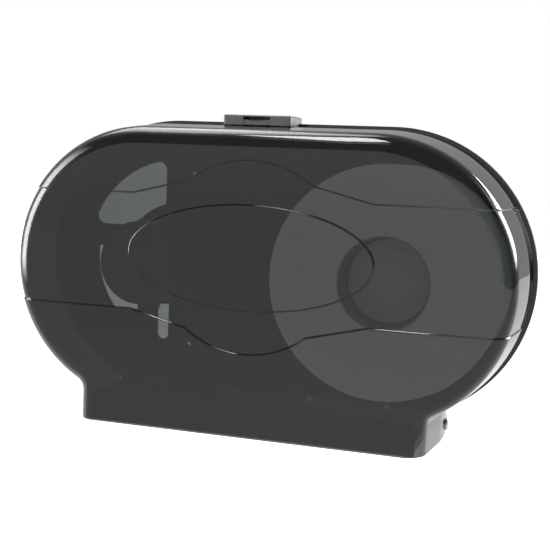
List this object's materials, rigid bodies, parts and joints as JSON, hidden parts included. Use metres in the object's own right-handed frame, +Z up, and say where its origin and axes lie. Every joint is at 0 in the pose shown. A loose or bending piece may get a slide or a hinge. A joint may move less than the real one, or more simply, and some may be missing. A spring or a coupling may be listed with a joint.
{
  "type": "jumbo toilet roll dispenser",
  "caption": "Wall-mounted twin jumbo toilet roll dispenser with a smoked see-through hinged cover, roll hubs, a sliding mouth shutter and a keyed latch.",
  "frame": {"origin": "middle of the four wall screw holes, on the wall plane, level with the roll axes", "axes": "+X to the right seen from the front, +Y into the wall, +Z up"},
  "size_m": [0.516, 0.114, 0.3065],
  "materials": {
    "smoked_plastic": "polished smoked see-through polycarbonate",
    "black_plastic": "glossy black ABS",
    "grey_plastic": "satin dark grey ABS",
    "hub_plastic": "satin near-black ABS",
    "steel": "zinc-plated or stainless steel",
    "chromed_zinc": "chromed zinc casting",
    "aluminium": "plain aluminium rivet",
    "felt": "grey felt",
    "tissue": "white two-ply tissue",
    "cardboard": "grey-brown wound cardboard"
  },
  "bodies": {
    "back_frame": {"back_plate": "black_plastic", "latch_housing": "grey_plastic", "latch_screws": "steel", "latch_springs": "steel", "spindle_post_left": "hub_plastic", "spindle_post_right": "hub_plastic", "spindle_screws": "steel", "hinge_pin_left": "steel", "hinge_pin_right": "steel", "mouth_frame": "black_plastic", "mouth_frame_screws": "steel", "tear_bar_left": "steel", "tear_bar_right": "steel", "tear_bar_rivets": "aluminium", "retaining_clip_left": "steel", "retaining_clip_right": "steel", "brake_washer_left": "felt", "brake_washer_right": "felt"},
    "cover": {"cover_shell": "smoked_plastic", "cover_catch": "steel", "catch_rivets": "aluminium"},
    "latch_tab": {"latch_tab": "grey_plastic"},
    "lock": {"lock_core": "chromed_zinc", "lock_cam": "steel", "cam_nut": "steel"},
    "left_hub": {"core_hub_left": "hub_plastic", "hub_cap_left": "hub_plastic"},
    "right_hub": {"core_hub_right": "hub_plastic", "hub_cap_right": "hub_plastic", "roll_core": "cardboard", "paper_roll": "tissue"},
    "shutter": {"access_shutter": "hub_plastic"}
  },
  "joints": [
    {"name": "cover_hinge", "type": "hinge", "parent": "back_frame", "child": "cover", "pos_m": [0, -0.013, -0.144], "axis": [1, 0, 0], "range_deg": [0, 90]},
    {"name": "latch_lift", "type": "slide", "parent": "back_frame", "child": "latch_tab", "axis": [0, 0, 1], "range_m": [0, 0.0025], "stiffness_N_per_m": 600, "springref_m": -0.002, "deforming": ["latch_springs"]},
    {"name": "lock_turn", "type": "hinge", "parent": "back_frame", "child": "lock", "pos_m": [0.0045, -0.022, 0.1465], "axis": [0, 0, -1], "range_deg": [0, 90]},
    {"name": "left_hub_spin", "type": "hinge", "parent": "back_frame", "child": "left_hub", "pos_m": [-0.128, -0.05, 0], "axis": [0, 1, 0], "continuous": true},
    {"name": "right_hub_spin", "type": "hinge", "parent": "back_frame", "child": "right_hub", "pos_m": [0.128, -0.05, 0], "axis": [0, 1, 0], "continuous": true},
    {"name": "shutter_slide", "type": "slide", "parent": "back_frame", "child": "shutter", "axis": [1, 0, 0], "range_m": [0, 0.156]}
  ]
}
